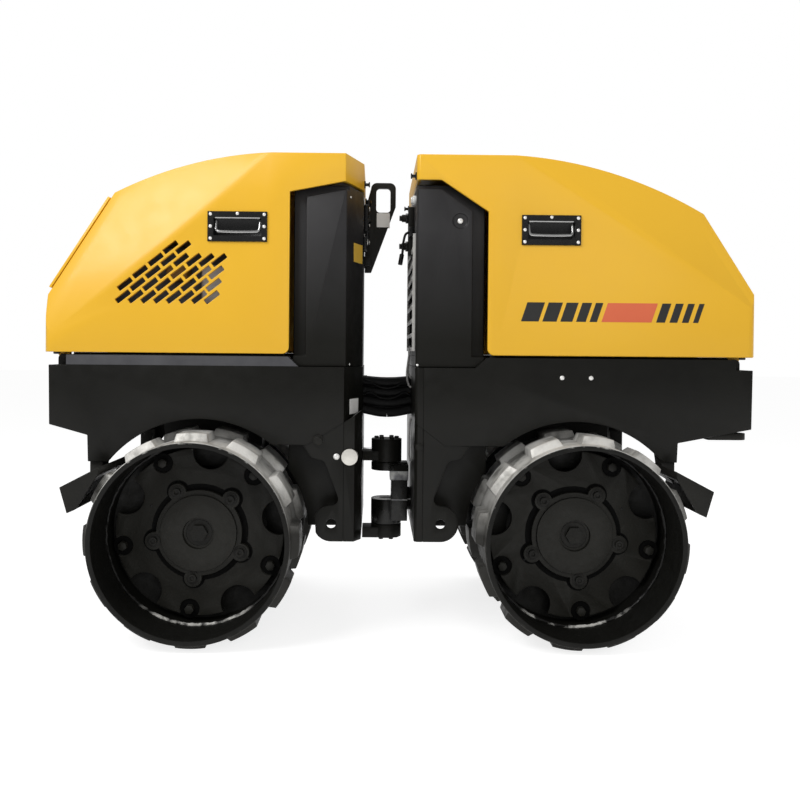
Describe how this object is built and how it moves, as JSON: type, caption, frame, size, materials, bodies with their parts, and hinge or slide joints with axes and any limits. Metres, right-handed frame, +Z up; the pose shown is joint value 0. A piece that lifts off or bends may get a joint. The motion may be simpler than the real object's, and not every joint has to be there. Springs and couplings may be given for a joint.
{
  "type": "articulated trench roller",
  "caption": "Remote-controlled trench roller: two hooded modules on split padfoot drums, joined by a steering and swinging yoke, with opening hoods.",
  "frame": {"origin": "on the ground, at the centre of the machine's length and width", "axes": "+X towards the rear module, +Y to the machine's right with the front towards -X, +Z up"},
  "size_m": [1.897, 0.85, 1.3],
  "materials": {
    "yellow_paint": "satin",
    "black_paint": "satin",
    "satin_black": "satin",
    "worn_steel": "worn",
    "mount_rubber": "matte",
    "hose_rubber": "matte",
    "black_plastic": "matte",
    "zinc_plate": "brushed",
    "chrome_rod": "polished"
  },
  "bodies": {
    "front_module": {"front_frame": "black_paint", "front_sides": "black_paint", "front_end": "black_paint", "front_tower": "satin_black", "front_engine": "black_paint", "front_drive": "black_paint", "front_scrapers": "black_paint", "lifting_eye": "black_paint", "steer_arms": "black_paint", "lock_pin": "zinc_plate", "front_hinges": "black_paint", "front_hoses": "hose_rubber"},
    "front_hood": {"front_hood": "yellow_paint", "front_nose": "yellow_paint", "front_handles": "black_plastic"},
    "front_drums": {"front_left_drum": "worn_steel", "front_right_drum": "worn_steel", "front_left_disc": "black_paint", "front_right_disc": "black_paint", "front_buffers": "mount_rubber", "front_shaft": "black_paint"},
    "yoke": {"yoke": "black_paint"},
    "steer_barrel": {"steer_barrel": "black_paint"},
    "steer_rod": {"steer_rod": "chrome_rod"},
    "rear_module": {"rear_frame": "black_paint", "rear_sides": "black_paint", "rear_end": "black_paint", "rear_tower": "satin_black", "rear_grille": "satin_black", "rear_tank": "black_paint", "rear_drive": "black_paint", "rear_scrapers": "black_paint", "rear_tie_lugs": "black_paint", "rear_hinges": "black_paint", "rear_hoses": "hose_rubber", "rear_valves": "zinc_plate"},
    "rear_hood": {"rear_hood": "yellow_paint", "rear_handles": "black_plastic"},
    "rear_drums": {"rear_left_drum": "worn_steel", "rear_right_drum": "worn_steel", "rear_left_disc": "black_paint", "rear_right_disc": "black_paint", "rear_buffers": "mount_rubber", "rear_shaft": "black_paint"}
  },
  "joints": [
    {"name": "front_drums_roll", "type": "hinge", "parent": "front_module", "child": "front_drums", "pos_m": [-0.5415, 0, 0.28], "axis": [0, 1, 0], "continuous": true},
    {"name": "steer", "type": "hinge", "parent": "front_module", "child": "yoke", "pos_m": [-0.0335, 0, 0.38], "axis": [0, 0, 1], "range_deg": [-28, 28], "deforming": ["front_hoses"]},
    {"name": "swing", "type": "hinge", "parent": "yoke", "child": "rear_module", "pos_m": [0.0465, 0, 0.336], "axis": [1, 0, 0], "range_deg": [-8, 8], "deforming": ["rear_hoses"]},
    {"name": "rear_drums_roll", "type": "hinge", "parent": "rear_module", "child": "rear_drums", "pos_m": [0.4745, 0, 0.28], "axis": [0, 1, 0], "continuous": true},
    {"name": "front_hood_open", "type": "hinge", "parent": "front_module", "child": "front_hood", "pos_m": [-0.9135, 0, 0.748], "axis": [0, -1, 0], "range_deg": [0, 60]},
    {"name": "rear_hood_open", "type": "hinge", "parent": "rear_module", "child": "rear_hood", "pos_m": [0.9125, 0, 0.748], "axis": [0, 1, 0], "range_deg": [0, 60]},
    {"name": "steer_barrel_swing", "type": "hinge", "parent": "front_module", "child": "steer_barrel", "pos_m": [-0.2585, 0.095, 0.466], "axis": [0, 0, 1], "range_deg": [-1.5, 1.5]},
    {"name": "steer_rod_slide", "type": "slide", "parent": "steer_barrel", "child": "steer_rod", "axis": [0.9961, -0.0885, 0], "range_m": [-0.036, 0.036]}
  ],
  "couplings": [
    {"joint": "steer_barrel_swing", "follows": "steer", "ratio": -0.0413},
    {"joint": "steer_rod_slide", "follows": "steer", "m_per_rad": -0.0714}
  ]
}
